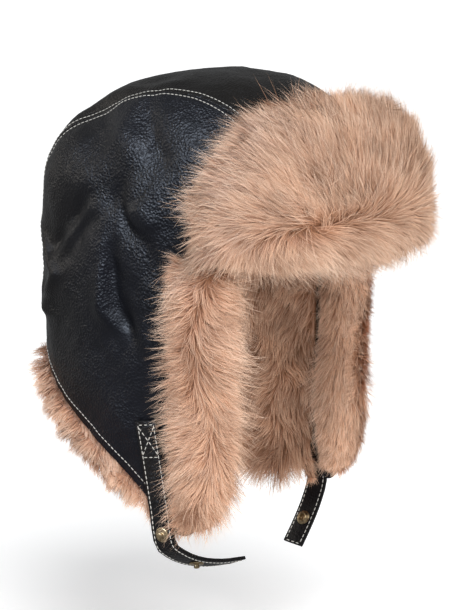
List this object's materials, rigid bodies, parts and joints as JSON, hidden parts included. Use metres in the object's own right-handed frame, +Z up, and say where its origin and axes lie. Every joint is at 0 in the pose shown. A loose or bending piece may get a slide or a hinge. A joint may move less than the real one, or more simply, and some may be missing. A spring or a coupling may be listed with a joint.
{
  "type": "ushanka hat",
  "caption": "Leather ushanka worn on the head, with a turned-up fur brim, fur-edged ear flaps hanging down and a snap chin strap.",
  "frame": {"origin": "the head seat, the point inside the top of the crown where the skull meets the lining", "axes": "+Z up, the front of the hat faces -Y, the wearer's right is -X"},
  "size_m": [0.2295, 0.2986, 0.3645],
  "materials": {
    "leather": "fine grain, semi-matt black",
    "fur": "deep tan pile",
    "lining_fur": "deep tan pile",
    "brass": "aged"
  },
  "bodies": {
    "root": {"crown_strip": "leather", "side_panel_right": "leather", "side_panel_left": "leather", "brim_flap": "leather", "brim_fur": "fur", "flap_cuff_right": "fur", "flap_cuff_left": "fur", "lining_crown": "lining_fur", "lining_side_right": "lining_fur", "lining_side_left": "lining_fur", "strap_right": "leather", "strap_left": "leather", "stud_right_upper": "brass", "stud_right_lower": "brass", "snap_socket_left": "brass"}
  },
  "joints": []
}
